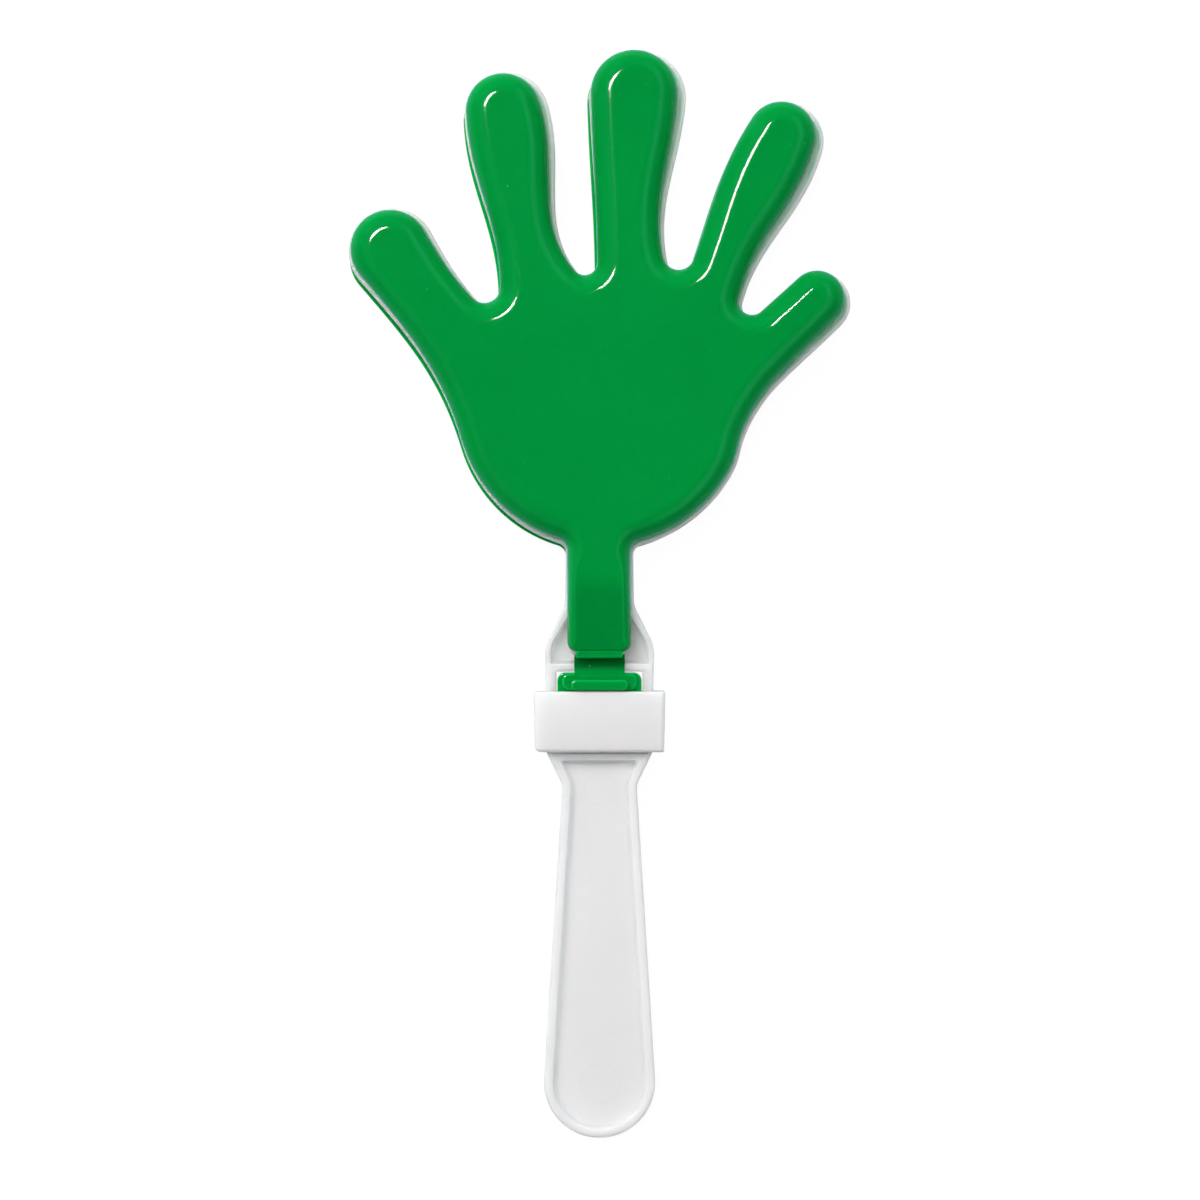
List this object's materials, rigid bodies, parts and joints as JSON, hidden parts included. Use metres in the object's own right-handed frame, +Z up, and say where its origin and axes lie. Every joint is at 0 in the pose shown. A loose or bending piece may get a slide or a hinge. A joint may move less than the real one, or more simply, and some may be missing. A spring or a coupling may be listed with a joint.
{
  "type": "hand clapper",
  "caption": "Party noise-maker: shell hands on living hinges clap against a middle hand on a long flat grip, and a sliding collar locks their anchors.",
  "frame": {"origin": "on the resting surface, under the middle of the palms, on the handle's middle line", "axes": "+Y towards the fingertips, -Y along the grip, +Z up out of the front hand, +X to the small finger's side"},
  "size_m": [0.1291, 0.2802, 0.02],
  "materials": {
    "green_plastic": "polished mould, glossy",
    "white_plastic": "polished mould, satin to glossy"
  },
  "bodies": {
    "handle": {"middle_hand_and_handle": "white_plastic", "front_anchor": "green_plastic", "back_anchor": "green_plastic", "front_hinge_strap": "green_plastic", "back_hinge_strap": "green_plastic"},
    "front_hand": {"front_hand": "green_plastic"},
    "back_hand": {"back_hand": "green_plastic"},
    "collar": {"collar": "white_plastic"}
  },
  "joints": [
    {"name": "front_hinge", "type": "hinge", "parent": "handle", "child": "front_hand", "pos_m": [0, -0.0692, 0.0141], "axis": [1, 0, 0], "range_deg": [0, 90], "deforming": ["front_hinge_strap"]},
    {"name": "back_hinge", "type": "hinge", "parent": "handle", "child": "back_hand", "pos_m": [0, -0.0692, 0.0059], "axis": [-1, 0, 0], "range_deg": [0, 90], "deforming": ["back_hinge_strap"]},
    {"name": "collar_slide", "type": "slide", "parent": "handle", "child": "collar", "axis": [0, -1, 0], "range_m": [0, 0.115]}
  ]
}
